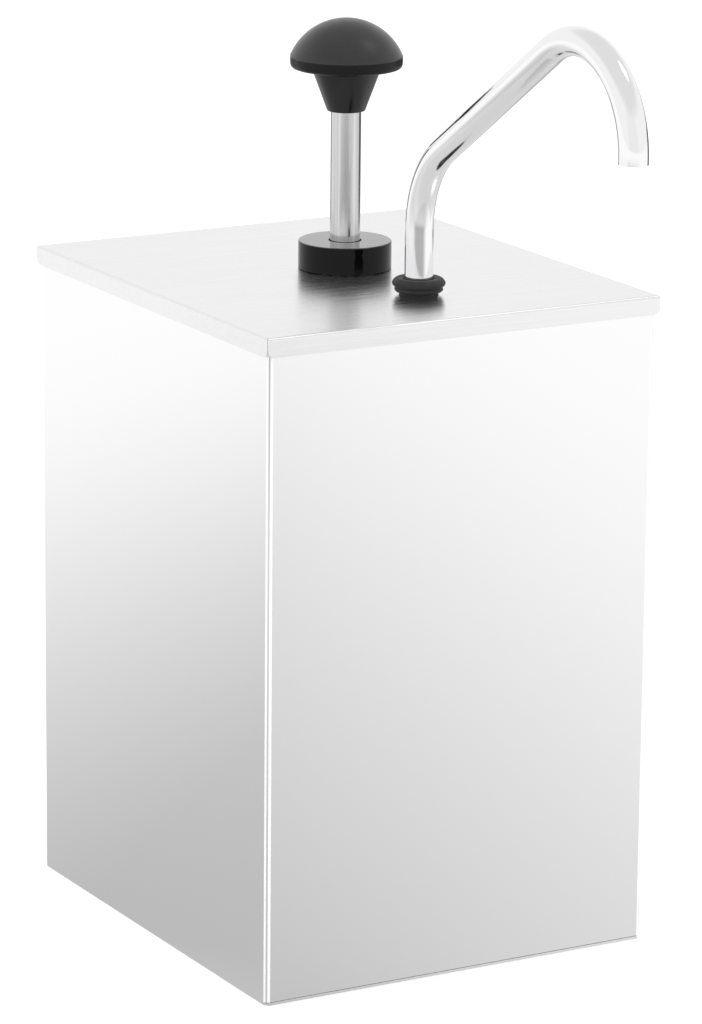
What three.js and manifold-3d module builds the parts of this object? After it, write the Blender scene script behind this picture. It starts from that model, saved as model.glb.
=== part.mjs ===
// Condiment pump dispenser: a square sheet-steel case, a lift-out container hanging in it, and a lid that
// carries a plunger pump with a swan-neck spout. Millimetres, +Z up. The origin is the centre of the base
// on the surface it stands on, and the spout points towards -Y, the front.
import * as THREE from "three";
import { mergeVertices } from "three/addons/utils/BufferGeometryUtils.js";
import Module from "manifold-3d";

const wasm = await Module();
wasm.setup();

// ---------- driving dimensions ----------
const GAP = 0.3; // between faces that touch on the real object
const SHEET = 1.0; // sheet thickness of case, lid and container

const CASE = { width: 180, depth: 205, corner: 2, ledge: 10, hem: 8 };
const LID = { top: 278, overhang: 1.6, skirt: 8, fold: 1.6, slit: 0.5 };
const CONTAINER = { bottom: 21, bodyWidth: 157, bodyDepth: 182, corner: 16, rim: 7.5 };

const PUMP = { x: 3.5, y: 4 }; // plunger axis
const RISER_Y = -58; // discharge riser axis, straight in front of the plunger
const SIDES = 20; // facets of every round pump part, so that mating parts keep their clearance

const ROD = { radius: 6.35, bore: 4.75, bottom: 156.6, top: 352 };
const COLLAR = { radius: 19.6, height: 11.5, roof: 3.2 };
const NECK = { radius: 15, bore: 11, top: 284.5 };
const CYLINDER = { radius: 18, bore: 16, bottom: 54.3, shoulder: 22 };
const FOOT = { radius: 20.5, bottom: 32, floor: 51.7, top: 76, inlet: 5.5, chamber: 9 };
const PORT = { z: 66, bore: 4.2, pipe: 6 };
const BALL = { inlet: 6.5, outlet: 6 };
const PISTON = { radius: 15.6, bottom: 143.3, height: 16 };
const SPRING = { radius: 13, wire: 0.9, turns: 8 };
const ELBOW = { radius: 10, bottom: 57, seat: 74, chamber: 8, top: 100 };
const RISER = { radius: 7.9, bore: 6.7, bottom: 92, top: 266 };
const SPOUT = { radius: 6, bore: 4.9, bottom: 236, incline: 32.9, corner: 50.6, lowBend: 42, topBend: 38.9,
  reach: 160.2, tip: 80.5 }; // corner and tip are heights above the lid, reach is from the riser axis
const KNOB = { radius: 23.5, rim: 84.4, band: 89.6, apex: 105.2, hubTop: 83.8, hubBottom: 66.5,
  hubWide: 14.3, hubNarrow: 7.9 }; // heights above the lid

// ---------- materials ----------
const material = (color, roughness, metalness) =>
  new THREE.MeshStandardMaterial({ color, roughness, metalness });
const polishedSteel = material(0xd4d6d8, 0.12, 1);
const satinSteel = material(0xc9cbcc, 0.32, 1);
const chrome = material(0xe2e4e6, 0.06, 1);
const glossPlastic = material(0x141414, 0.15, 0);
const mattePlastic = material(0x2b2b2c, 0.45, 0);
const rubber = material(0x242425, 0.7, 0);
const whitePlastic = material(0xe9e7e0, 0.4, 0);

// ---------- helpers ----------
// A closed geometry as a solid, turned the right way out.
function solid(geometry) {
  const bare = geometry.index ? geometry.toNonIndexed() : geometry.clone();
  const merged = mergeVertices(
    new THREE.BufferGeometry().setAttribute("position", bare.getAttribute("position")),
    1e-3,
  );
  const corners = merged.index.array;
  const triVerts = [];
  for (let i = 0; i < corners.length; i += 3) {
    const [a, b, c] = [corners[i], corners[i + 1], corners[i + 2]];
    if (a !== b && b !== c && a !== c) triVerts.push(a, b, c);
  }
  const vertProperties = merged.attributes.position.array;
  const build = (tris) =>
    new wasm.Manifold(new wasm.Mesh({ numProp: 3, vertProperties, triVerts: new Uint32Array(tris) }));
  const made = build(triVerts);
  if (made.volume() > 0) return made;
  const flipped = [];
  for (let i = 0; i < triVerts.length; i += 3) flipped.push(triVerts[i], triVerts[i + 2], triVerts[i + 1]);
  return build(flipped);
}

// A named mesh of a solid.
function piece(name, body, look) {
  const { vertProperties, triVerts } = body.getMesh();
  const geometry = new THREE.BufferGeometry()
    .setAttribute("position", new THREE.BufferAttribute(new Float32Array(vertProperties), 3))
    .setIndex(new THREE.BufferAttribute(new Uint32Array(triVerts), 1));
  geometry.computeVertexNormals();
  const mesh = new THREE.Mesh(geometry, look);
  mesh.name = name;
  return mesh;
}

// A solid of revolution about Z; profile holds [radius, z] corners and closes on itself or on the axis.
function turned(profile, sides = SIDES) {
  const points = profile.map(([radius, z]) => new THREE.Vector2(radius, z));
  if (profile[0][0] > 0) points.push(points[0].clone());
  return solid(new THREE.LatheGeometry(points, sides).rotateX(Math.PI / 2));
}

// A ring, tube or disc between two heights.
function ring(outer, inner, low, high, sides = SIDES) {
  const corners = [[outer, low], [outer, high]];
  const inside = inner > 0 ? [[inner, high], [inner, low]] : [[0, high], [0, low]];
  return inner > 0 ? turned([...corners, ...inside], sides) : turned([inside[1], ...corners, inside[0]], sides);
}

// An O-ring or ball, as a turned circle; a ball is a half circle on the axis.
function oRing(major, minor, z, points = 6) {
  const profile = [];
  for (let i = 0; i < points; i++) {
    const angle = (i / points) * 2 * Math.PI;
    profile.push([major + minor * Math.cos(angle), z + minor * Math.sin(angle)]);
  }
  return turned(profile);
}
function ball(radius, z, points = 8) {
  const profile = [];
  for (let i = 0; i <= points; i++) {
    const angle = (i / points - 0.5) * Math.PI;
    profile.push([i % points ? radius * Math.cos(angle) : 0, z + radius * Math.sin(angle)]);
  }
  return turned(profile, 16);
}

// A rounded rectangle, as the outline of a shape or of a hole in one.
function roundedRectangle(width, depth, radius, target = new THREE.Shape()) {
  const [x, y] = [width / 2, depth / 2];
  target.moveTo(x, -y + radius);
  target.lineTo(x, y - radius);
  target.absarc(x - radius, y - radius, radius, 0, Math.PI / 2);
  target.lineTo(-x + radius, y);
  target.absarc(-x + radius, y - radius, radius, Math.PI / 2, Math.PI);
  target.lineTo(-x, -y + radius);
  target.absarc(-x + radius, -y + radius, radius, Math.PI, 1.5 * Math.PI);
  target.lineTo(x - radius, -y);
  target.absarc(x - radius, -y + radius, radius, 1.5 * Math.PI, 2 * Math.PI);
  return target;
}

// A flat outline pushed up from one height to another.
function raised(shape, low, high, curveSegments = 4) {
  return solid(
    new THREE.ExtrudeGeometry(shape, { depth: high - low, bevelEnabled: false, curveSegments }).translate(0, 0, low),
  );
}

// A rectangular plate or, with a hole, a frame.
function plate(width, depth, radius, low, high, hole) {
  const shape = roundedRectangle(width, depth, radius);
  if (hole) shape.holes.push(roundedRectangle(hole.width, hole.depth, hole.radius, new THREE.Path()));
  return raised(shape, low, high);
}

// A solid cylinder standing at x, y, for drilling.
function drill(radius, low, high, x = 0, y = 0, sides = SIDES) {
  return ring(radius, 0, low, high, sides).translate([x, y, 0]);
}

// A solid cylinder lying along Y at height z, centred on x = 0.
function alongY(radius, from, to, z, sides = 16) {
  const bar = new THREE.CylinderGeometry(radius, radius, Math.abs(to - from), sides);
  return solid(bar.translate(0, (from + to) / 2, z));
}

// The spout's centreline in the plane x = 0: riser, bend, incline, top bend and a short drop.
class SpoutCurve extends THREE.Curve {
  constructor() {
    super();
    const rise = THREE.MathUtils.degToRad(SPOUT.incline);
    const lowTurn = Math.PI / 2 - rise;
    const topTurn = Math.PI / 2 + rise;
    const tangent = SPOUT.lowBend * Math.tan(lowTurn / 2);
    const cornerZ = LID.top + SPOUT.corner;
    const dropY = -SPOUT.reach;
    // where the incline meets the vertical line of the drop, and the tangent length of the top bend there
    const meetZ = cornerZ + SPOUT.reach * Math.tan(rise);
    const topTangent = SPOUT.topBend * Math.tan(topTurn / 2);
    const incline = SPOUT.reach / Math.cos(rise) - tangent - topTangent;
    this.stretches = [
      { length: cornerZ - tangent - SPOUT.bottom, turn: 0 },
      { length: SPOUT.lowBend * lowTurn, turn: lowTurn },
      { length: incline, turn: 0 },
      { length: SPOUT.topBend * topTurn, turn: topTurn },
      { length: meetZ - topTangent - LID.top - SPOUT.tip, turn: 0 },
    ];
    this.total = this.stretches.reduce((sum, s) => sum + s.length, 0);
  }
  getPoint(t, target = new THREE.Vector3()) {
    let left = t * this.total;
    let [y, z, heading] = [0, SPOUT.bottom, 0]; // heading is the angle from straight up, towards -Y
    for (const { length, turn } of this.stretches) {
      const run = Math.min(left, length);
      if (turn) {
        const radius = length / turn;
        const next = heading + run / radius;
        y -= radius * (Math.cos(heading) - Math.cos(next));
        z += radius * (Math.sin(next) - Math.sin(heading));
        heading = next;
      } else {
        y -= run * Math.sin(heading);
        z += run * Math.cos(heading);
      }
      left -= run;
      if (left <= 0) break;
    }
    return target.set(0, y, z);
  }
}

class HelixCurve extends THREE.Curve {
  constructor(radius, low, high, turns) {
    super();
    Object.assign(this, { radius, low, high, turns });
  }
  getPoint(t, target = new THREE.Vector3()) {
    const angle = t * this.turns * 2 * Math.PI;
    const z = this.low + (this.high - this.low) * t;
    return target.set(this.radius * Math.cos(angle), this.radius * Math.sin(angle), z);
  }
}

// A round section swept along a curve, hollow if it has a bore.
function swept(curve, radius, bore, steps, sides) {
  const shape = new THREE.Shape().absarc(0, 0, radius, 0, 2 * Math.PI);
  if (bore) shape.holes.push(new THREE.Path().absarc(0, 0, bore, 0, 2 * Math.PI));
  return solid(new THREE.ExtrudeGeometry(shape, { steps, extrudePath: curve, curveSegments: sides }));
}

// ---------- case ----------
const caseLow = SHEET + GAP;
const caseHigh = LID.top - SHEET - 1.7;
const inside = { width: CASE.width - 2 * SHEET, depth: CASE.depth - 2 * SHEET };

function caseShell() {
  const hole = { ...inside, radius: CASE.corner - SHEET };
  const walls = plate(CASE.width, CASE.depth, CASE.corner, caseLow, caseHigh, hole);
  const inward = (reach) => ({ width: inside.width - 2 * reach, depth: inside.depth - 2 * reach, radius: 1 });
  const hem = plate(inside.width + SHEET, inside.depth + SHEET, 1, caseLow, caseLow + SHEET, inward(CASE.hem));
  const ledge = plate(inside.width + SHEET, inside.depth + SHEET, 1, caseHigh - SHEET, caseHigh, inward(CASE.ledge));
  let shell = walls.add(hem).add(ledge);
  // The side walls run down past the base plate, whose front and back edges show as a seam.
  for (const side of [-1, 1]) {
    const strip = new THREE.BoxGeometry(SHEET, CASE.depth - 2 * CASE.corner, caseLow + SHEET);
    shell = shell.add(solid(strip.translate((side * (CASE.width - SHEET)) / 2, 0, (caseLow + SHEET) / 2)));
  }
  return shell;
}

const basePlate = () => plate(CASE.width - 2 * (SHEET + GAP), CASE.depth, 0.5, 0, SHEET);

// ---------- lift-out container ----------
function innerContainer() {
  const { bottom, bodyWidth, bodyDepth, corner, rim } = CONTAINER;
  const rimLow = caseHigh + GAP;
  const rimHigh = rimLow + SHEET;
  const mouth = { width: bodyWidth - 2 * SHEET, depth: bodyDepth - 2 * SHEET, radius: corner - SHEET };
  const walls = plate(bodyWidth, bodyDepth, corner, bottom, rimHigh, mouth);
  const floor = plate(bodyWidth, bodyDepth, corner, bottom, bottom + SHEET);
  const flange = plate(bodyWidth + 2 * rim, bodyDepth + 2 * rim, 8, rimLow, rimHigh, mouth);
  return walls.add(floor).add(flange);
}

// ---------- lid ----------
function lidCover() {
  const [width, depth] = [CASE.width + 2 * LID.overhang, CASE.depth + 2 * LID.overhang];
  const flat = roundedRectangle(width - 2 * LID.fold, depth - 2 * LID.fold, 1);
  const folded = solid(
    new THREE.ExtrudeGeometry(flat, {
      depth: LID.skirt,
      bevelThickness: LID.fold,
      bevelSize: LID.fold,
      bevelSegments: 3,
      curveSegments: 2,
    }).translate(0, 0, LID.top - LID.skirt - LID.fold),
  );
  const low = LID.top - LID.skirt;
  const cavity = plate(width - 2 * SHEET, depth - 2 * SHEET, 2, low - 10, LID.top - SHEET);
  const below = plate(width + 10, depth + 10, 2, low - 10, low);
  let lid = folded.subtract(below).subtract(cavity);
  // The four skirts are folded from one blank, so they meet at each corner in an open slit.
  for (const x of [-1, 1]) {
    for (const y of [-1, 1]) {
      const slit = new THREE.BoxGeometry(12, LID.slit, LID.skirt)
        .rotateZ((x * y * Math.PI) / 4)
        .translate((x * width) / 2, (y * depth) / 2, low + LID.skirt / 2 - 2 * SHEET);
      lid = lid.subtract(solid(slit));
    }
  }
  const neckHole = drill(NECK.radius + 0.5, low, LID.top + 1, PUMP.x, PUMP.y);
  const spoutHole = drill(8.2, low, LID.top + 1, PUMP.x, RISER_Y);
  return lid.subtract(neckHole).subtract(spoutHole);
}

// The rubber ring that closes the spout's hole: a fat bead over a thinner lip, and a flange under the lid.
function spoutGrommet() {
  const top = LID.top;
  const profile = [
    [6.3, top + 7.1], [7.6, top + 7.4], [9.8, top + 6.8], [11.1, top + 5.5], [11.1, top + 4.4], [9.7, top + 3.5],
    [9.9, top + 2.8], [9.5, top + 1.8], [7.8, top + 1.4], [7.8, top - SHEET - GAP], [9.6, top - SHEET - GAP],
    [9.2, top - SHEET - 2.6], [6.3, top - SHEET - 2.6],
  ];
  return turned(profile);
}

// ---------- pump, fixed parts (about the plunger axis) ----------
const collarLow = LID.top + GAP;
const collarHigh = collarLow + COLLAR.height;
const roofLow = collarHigh - COLLAR.roof;
const shoulderHigh = LID.top - SHEET - 1.6;

function pumpCollar() {
  const { radius } = COLLAR;
  const edge = 0.5;
  return turned([
    [radius, collarLow], [radius, collarHigh - edge], [radius - edge, collarHigh], [ROD.radius + 0.4, collarHigh],
    [ROD.radius + 0.4, roofLow], [NECK.radius + GAP, roofLow], [NECK.radius + GAP, collarLow],
  ]);
}

const cylinderGasket = () =>
  ring(CYLINDER.shoulder, NECK.radius + 1, shoulderHigh + GAP, LID.top - SHEET - GAP);

function pumpCylinder() {
  const body = turned([
    [CYLINDER.radius, CYLINDER.bottom], [CYLINDER.radius, shoulderHigh - 6], [CYLINDER.shoulder, shoulderHigh - 3.5],
    [CYLINDER.shoulder, shoulderHigh], [NECK.radius, shoulderHigh], [NECK.radius, NECK.top], [NECK.bore, NECK.top],
    [NECK.bore, shoulderHigh - 5], [CYLINDER.bore, shoulderHigh - 8], [CYLINDER.bore, CYLINDER.bottom],
  ]);
  return body.subtract(alongY(PORT.bore, 0, -CYLINDER.radius - 2, PORT.z));
}

const wiperRecess = { radius: 9.2, depth: 2.6 };
function rodBush() {
  const bore = ROD.radius + 0.35;
  const head = NECK.top + GAP;
  const top = head + 1.5;
  return turned([
    [NECK.bore - GAP, shoulderHigh - 4.5], [NECK.bore - GAP, head], [NECK.radius - 0.5, head], [NECK.radius - 0.5, top],
    [wiperRecess.radius, top], [wiperRecess.radius, top - wiperRecess.depth], [bore, top - wiperRecess.depth],
    [bore, shoulderHigh - 4.5],
  ]);
}
const rodWiper = () => oRing(7.9, 1.1, NECK.top + GAP + 1.5 - wiperRecess.depth + 1.3);

function valveHousing() {
  const { radius, bottom, floor, top, inlet, chamber } = FOOT;
  const socket = CYLINDER.radius + GAP;
  const seat = bottom + 6;
  const body = turned([
    [radius - 6, bottom], [radius, bottom + 5], [radius, top], [socket, top], [socket, floor], [chamber, floor],
    [chamber, seat + 3.5], [inlet, seat], [inlet, bottom],
  ]);
  const boss = alongY(PORT.pipe + 3, -socket - 1, -radius - 7, PORT.z);
  const bore = alongY(PORT.bore, 0, -radius - 10, PORT.z);
  const socketForPipe = alongY(PORT.pipe + GAP, -radius - 1, -radius - 10, PORT.z);
  return body.add(boss).subtract(bore).subtract(socketForPipe);
}

// A disc with holes round its middle, which holds a valve ball down and lets the sauce past.
function ballCage(radius, low, high, hole) {
  let cage = ring(radius, 0, low, high);
  for (let i = 0; i < hole.count; i++) {
    const angle = (i / hole.count) * 2 * Math.PI;
    const [x, y] = [hole.pitch * Math.cos(angle), hole.pitch * Math.sin(angle)];
    cage = cage.subtract(drill(hole.radius, low - 1, high + 1, x, y, 8));
  }
  return cage;
}

const springLow = CYLINDER.bottom + GAP;
const springHigh = PISTON.bottom - GAP;
function returnSpring() {
  const { radius, wire, turns } = SPRING;
  const coil = new HelixCurve(radius, springLow + wire, springHigh - wire, turns);
  return swept(coil, wire, 0, turns * 12, 3);
}

// ---------- pump, moving parts ----------
const hubLow = LID.top + KNOB.hubBottom;
const hubHigh = LID.top + KNOB.hubTop;
const studRadius = 4;

function knobHub() {
  const { hubWide, hubNarrow } = KNOB;
  return turned([
    [hubNarrow - 0.6, hubLow], [hubNarrow, hubLow + 0.6], [hubWide, hubHigh - 1.2], [hubWide - 0.5, hubHigh],
    [studRadius + GAP, hubHigh], [studRadius + GAP, ROD.top + GAP], [ROD.radius + GAP, ROD.top + GAP],
    [ROD.radius + GAP, hubLow],
  ]);
}

// A spherical cap on a short upright band, hollow underneath round a central boss.
function knobDome() {
  const { radius, rim, band, apex } = KNOB;
  const [low, cap, top] = [LID.top + rim, LID.top + band, LID.top + apex];
  const rise = top - cap;
  const sphere = (radius ** 2 + rise ** 2) / (2 * rise);
  const outline = [[radius - 1.6, low], [radius - 0.3, low + 1.2], [radius, low + 2.6]];
  const rimAngle = Math.asin(radius / sphere);
  const steps = 6;
  for (let i = 0; i <= steps; i++) {
    const angle = rimAngle * (1 - i / steps);
    outline.push([i < steps ? sphere * Math.sin(angle) : 0, top - sphere * (1 - Math.cos(angle))]);
  }
  const studTop = low + 11;
  const underside = [
    [0, studTop], [studRadius + GAP, studTop], [studRadius + GAP, low], [KNOB.hubWide, low],
    [KNOB.hubWide + 2, low + 2.5], [radius - 5, low + 2.5], [radius - 3.5, low],
  ];
  return turned([...underside, ...outline]);
}

const knobStud = () => ring(studRadius, 0, ROD.top - 16, LID.top + KNOB.rim + 10.6);
const plungerRod = () => ring(ROD.radius, ROD.bore, ROD.bottom, ROD.top);
const rodPlug = () => ring(ROD.bore - GAP, 2.8, ROD.bottom + 0.5, ROD.bottom + 14);

const pistonTop = PISTON.bottom + PISTON.height;
const grooveZ = [PISTON.bottom + 4, PISTON.bottom + 12];
function pistonHead() {
  const { radius, bottom } = PISTON;
  const groove = radius - 2.6;
  const profile = [[2.8, bottom], [radius - 0.8, bottom], [radius, bottom + 0.8]];
  for (const z of grooveZ) profile.push([radius, z - 1.7], [groove, z - 1.7], [groove, z + 1.7], [radius, z + 1.7]);
  profile.push([radius, pistonTop - 0.8], [radius - 0.8, pistonTop], [ROD.radius + GAP, pistonTop]);
  profile.push([ROD.radius + GAP, ROD.bottom - GAP], [2.8, ROD.bottom - GAP]);
  return turned(profile);
}
const pistonRing = (z) => oRing(14.4, 1.35, z);
const washerLow = PISTON.bottom - GAP - 1.2;
const pistonWasher = () => ring(9.5, 2.8, washerLow, PISTON.bottom - GAP);
function pistonScrew() {
  const head = ring(5.8, 0, washerLow - GAP - 4, washerLow - GAP, 6);
  return head.add(ring(2.5, 0, washerLow - GAP - 1, ROD.bottom + 12));
}

// ---------- discharge line (about the riser axis) ----------
const riserToPump = PUMP.y - RISER_Y;
const elbowFace = 14; // from the riser axis to the mouth of the elbow's pipe socket

const outletPipe = () =>
  alongY(PORT.pipe, elbowFace - 4, riserToPump - FOOT.radius - 1.5, PORT.z).subtract(
    alongY(PORT.bore, 0, riserToPump, PORT.z),
  );

function outletElbow() {
  const { radius, bottom, seat, chamber, top } = ELBOW;
  const body = turned([
    [0, bottom], [radius - 2, bottom], [radius, bottom + 2], [radius, top], [RISER.radius + GAP, top],
    [RISER.radius + GAP, RISER.bottom - GAP], [chamber - 1, RISER.bottom - GAP], [chamber - 1, seat + 3],
    [PORT.bore, seat], [PORT.bore, PORT.z], [0, PORT.z],
  ]);
  const arm = alongY(PORT.pipe + 2.5, 0, elbowFace, PORT.z).subtract(drill(PORT.bore + 1, PORT.z - 4, seat + 3));
  const bore = alongY(PORT.bore, 0, elbowFace + 1, PORT.z);
  const pipeSocket = alongY(PORT.pipe + GAP, elbowFace - 4.3, elbowFace + 1, PORT.z);
  return body.add(arm).subtract(bore).subtract(pipeSocket);
}

const riserTube = () => ring(RISER.radius, RISER.bore, RISER.bottom, RISER.top);

// Knurled cap that keeps the spout's seals in the riser.
function riserCap() {
  const top = RISER.top + 2.6;
  return turned([
    [11, RISER.top - 14], [11, top - 0.6], [10.4, top], [SPOUT.radius + 0.4, top], [SPOUT.radius + 0.4, RISER.top + GAP],
    [RISER.radius + GAP, RISER.top + GAP], [RISER.radius + GAP, RISER.top - 14],
  ]);
}

// The strap that ties the riser to the pump cylinder, drawn about the pump axis.
function riserBracket() {
  const [wide, narrow] = [CYLINDER.radius + 4, RISER.radius + 4];
  const lean = Math.asin((wide - narrow) / riserToPump);
  const outline = new THREE.Shape();
  outline.absarc(0, 0, wide, -lean, Math.PI + lean);
  outline.absarc(0, -riserToPump, narrow, Math.PI + lean, 2 * Math.PI - lean);
  const bores = [[0, CYLINDER.radius + GAP], [-riserToPump, RISER.radius + GAP]];
  let strap = raised(outline, 222, 225, 10);
  for (const [y, radius] of bores) strap = strap.subtract(drill(radius, 220, 227, 0, y));
  return strap;
}

// The spout tube; its lower end carries two seal rings inside the riser.
const sealZ = [SPOUT.bottom + 5, SPOUT.bottom + 13];
const spoutTube = () => swept(new SpoutCurve(), SPOUT.radius, SPOUT.bore, 34, 6);
const spoutSeal = (z) => ring(RISER.bore - 0.15, SPOUT.radius + 0.15, z - 1, z + 1);

// ---------- assembly ----------
const dispenser = new THREE.Group();
dispenser.add(
  piece("case_shell", caseShell(), polishedSteel),
  piece("base_plate", basePlate(), polishedSteel),
  piece("inner_container", innerContainer(), satinSteel),
  piece("lid_cover", lidCover(), satinSteel),
);

const onPlunger = new THREE.Group();
onPlunger.position.set(PUMP.x, PUMP.y, 0);
onPlunger.add(
  piece("pump_collar", pumpCollar(), glossPlastic),
  piece("cylinder_gasket", cylinderGasket(), rubber),
  piece("pump_cylinder", pumpCylinder(), satinSteel),
  piece("rod_bush", rodBush(), whitePlastic),
  piece("rod_wiper", rodWiper(), rubber),
  piece("valve_housing", valveHousing(), mattePlastic),
  piece("inlet_cage", ballCage(CYLINDER.radius - 0.2, FOOT.floor + GAP, CYLINDER.bottom - GAP,
    { count: 6, pitch: 7, radius: 2 }), whitePlastic),
  piece("inlet_ball", ball(BALL.inlet, FOOT.bottom + 10), chrome),
  piece("return_spring", returnSpring(), chrome),
  piece("knob_hub", knobHub(), mattePlastic),
  piece("knob_dome", knobDome(), mattePlastic),
  piece("knob_stud", knobStud(), satinSteel),
  piece("plunger_rod", plungerRod(), polishedSteel),
  piece("rod_plug", rodPlug(), satinSteel),
  piece("piston_head", pistonHead(), whitePlastic),
  piece("piston_ring_lower", pistonRing(grooveZ[0]), rubber),
  piece("piston_ring_upper", pistonRing(grooveZ[1]), rubber),
  piece("piston_washer", pistonWasher(), satinSteel),
  piece("piston_screw", pistonScrew(), satinSteel),
  piece("riser_bracket", riserBracket(), satinSteel),
);
dispenser.add(onPlunger);

const onRiser = new THREE.Group();
onRiser.position.set(PUMP.x, RISER_Y, 0);
onRiser.add(
  piece("spout_grommet", spoutGrommet(), rubber),
  piece("outlet_pipe", outletPipe(), satinSteel),
  piece("outlet_elbow", outletElbow(), mattePlastic),
  piece("outlet_ball", ball(BALL.outlet, ELBOW.seat + 4.8), chrome),
  piece("outlet_cage", ballCage(ELBOW.chamber - 1.3, RISER.bottom - 3.5, RISER.bottom - 2,
    { count: 4, pitch: 4, radius: 1.6 }), whitePlastic),
  piece("riser_tube", riserTube(), satinSteel),
  piece("riser_cap", riserCap(), mattePlastic),
  piece("spout_tube", spoutTube(), chrome),
  piece("spout_seal_lower", spoutSeal(sealZ[0]), rubber),
  piece("spout_seal_upper", spoutSeal(sealZ[1]), rubber),
);
dispenser.add(onRiser);

export default dispenser;
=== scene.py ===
"""Condiment pump dispenser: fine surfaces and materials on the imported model. Metres, +Z up, front is -Y."""
import math

import bmesh
import bpy
from mathutils import Matrix, Vector


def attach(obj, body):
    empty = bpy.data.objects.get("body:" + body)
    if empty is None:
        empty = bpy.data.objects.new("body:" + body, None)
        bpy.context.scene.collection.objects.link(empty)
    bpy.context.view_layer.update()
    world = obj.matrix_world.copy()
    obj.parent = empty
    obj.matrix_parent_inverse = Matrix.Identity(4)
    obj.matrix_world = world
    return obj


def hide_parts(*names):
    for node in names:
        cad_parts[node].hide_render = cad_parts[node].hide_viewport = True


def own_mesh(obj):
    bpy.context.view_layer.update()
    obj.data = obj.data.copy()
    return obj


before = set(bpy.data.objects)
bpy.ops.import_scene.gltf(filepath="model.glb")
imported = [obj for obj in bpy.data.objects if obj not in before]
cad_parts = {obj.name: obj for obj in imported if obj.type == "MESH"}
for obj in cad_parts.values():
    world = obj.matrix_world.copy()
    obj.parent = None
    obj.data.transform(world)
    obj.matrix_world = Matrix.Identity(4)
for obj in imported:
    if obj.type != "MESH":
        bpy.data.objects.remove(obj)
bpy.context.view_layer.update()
MM = 0.001

# ---------- dimensions, in millimetres, as on the model ----------
TOP = 278.0  # the lid's upper face
SHEET = 1.0
CASE_W, CASE_D, CASE_R = 180.0, 205.0, 2.0
CASE_LOW, CASE_HIGH = 1.3, 275.3
LEDGE, LIP = 11.0, 9.0  # how far the case's sheet turns in at the top and at the foot
LID_W, LID_D, SKIRT, FOLD = 183.2, 208.2, 8.0, 1.2
PUMP_HOLE, RISER_HOLE = 15.5, 8.2  # radii of the holes in the lid
PUMP = (3.5, 4.0)  # where the pump's axis stands
RISER = (3.5, -58.0)  # where the discharge line rises
CYL_BORE, CYL_WALL, CYL_FLANGE = 16.0, 18.0, 22.0  # radii
CYL_FOOT, CYL_SHOULDER = 54.3, 275.4  # the shoulder is the top of the cylinder's flange, under the lid
NECK_WALL, NECK_BORE, NECK_LOW, NECK_TOP = 15.0, 11.0, 270.4, 284.5  # the cylinder's neck, inside the collar
PORT_Z, PORT_BORE = 66.0, 4.2  # height and radius of the passage from the cylinder's foot to the riser
PIPE, PIPE_SOCKET = 6.0, 6.2  # radii
RISER_WALL, RISER_BORE, RISER_SOCKET = 7.9, 6.7, 8.2  # radii; the socket is in the parts that hold the riser
STRAP_LOW, STRAP_HIGH = 222.0, 225.0
SPRING_LOW, SPRING_HIGH = 54.6, 143.0
SPRING_TURNS, SPRING_WIRE, SPRING_RADIUS = 8, 0.85, 13
KNOB_RADIUS, KNOB_RIM, KNOB_BAND, KNOB_APEX = 23.5, TOP + 84.4, TOP + 89.6, TOP + 105.2
HUB_LOW, HUB_HIGH, HUB_NARROW, HUB_WIDE = TOP + 66.5, TOP + 83.8, 7.9, 14.3
ROD_WALL, ROD_BORE, ROD_LOW, ROD_HIGH = 6.35, 4.75, 156.6, 352.0  # two radii, then foot and top
ROD_SOCKET, SCREW_BORE = ROD_WALL + 0.3, 2.8
PISTON_WALL, PISTON_GROOVE = 15.6, 13.0
GROOVES = ((145.6, 149.0), (153.6, 157.0))  # foot and top of each ring's groove in the piston
SPOUT_WALL, SPOUT_BORE = 5.87, 4.9  # radii; a little slimmer than the model's 6, so it stays inside its size


# ---------- camera ----------
def look():
    """A long lens above the front left, looking down at the dispenser."""
    yaw, pitch, roll = 0.5129, 0.2526, -0.0093
    place = Vector((-1.00106, -1.78709, 0.70204))
    level = Vector((math.sin(yaw), math.cos(yaw), 0))
    right = Vector((math.cos(yaw), -math.sin(yaw), 0))
    ahead = level * math.cos(pitch) - Vector((0, 0, math.sin(pitch)))
    down = ahead.cross(right)
    x = right * math.cos(roll) + down * math.sin(roll)
    y = right * math.sin(roll) - down * math.cos(roll)
    data = bpy.data.cameras.new("camera")
    data.sensor_width = 36
    data.lens = 175.6
    data.clip_start, data.clip_end = 0.1, 50
    camera = bpy.data.objects.new("camera", data)
    bpy.context.scene.collection.objects.link(camera)
    camera.matrix_world = Matrix.Translation(place) @ Matrix((x, y, -ahead)).transposed().to_4x4()
    bpy.context.scene.camera = camera


look()


# ---------- mesh helpers ----------
def mesh_object(name, bm):
    """Puts a finished bmesh into the scene as an object."""
    mesh = bpy.data.meshes.new(name)
    bm.to_mesh(mesh)
    bm.free()
    obj = bpy.data.objects.new(name, mesh)
    bpy.context.scene.collection.objects.link(obj)
    return obj


def finish_mesh(piece, bm, body, looks, at=(0, 0), sharp=38):
    """Millimetre mesh to a piece's fine object on its body, shaded smooth with crisp edges."""
    bmesh.ops.remove_doubles(bm, verts=bm.verts, dist=1e-5)
    bmesh.ops.recalc_face_normals(bm, faces=bm.faces)
    place = Matrix.Scale(MM, 4) @ Matrix.Translation((*at, 0))
    bmesh.ops.transform(bm, matrix=place, verts=bm.verts)
    for face in bm.faces:
        face.smooth = True
    for edge in bm.edges:
        edge.smooth = len(edge.link_faces) == 2 and edge.calc_face_angle() < math.radians(sharp)
    obj = mesh_object(piece + "_fine", bm)
    obj.data.materials.append(looks.material)
    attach(obj, body)
    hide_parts(piece)
    return obj


def second_look(obj, looks, chosen):
    """Gives another material to the faces that chosen(face) picks."""
    obj.data.materials.append(looks.material)
    for face in obj.data.polygons:
        if chosen(face):
            face.material_index = len(obj.data.materials) - 1
    return obj


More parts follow.
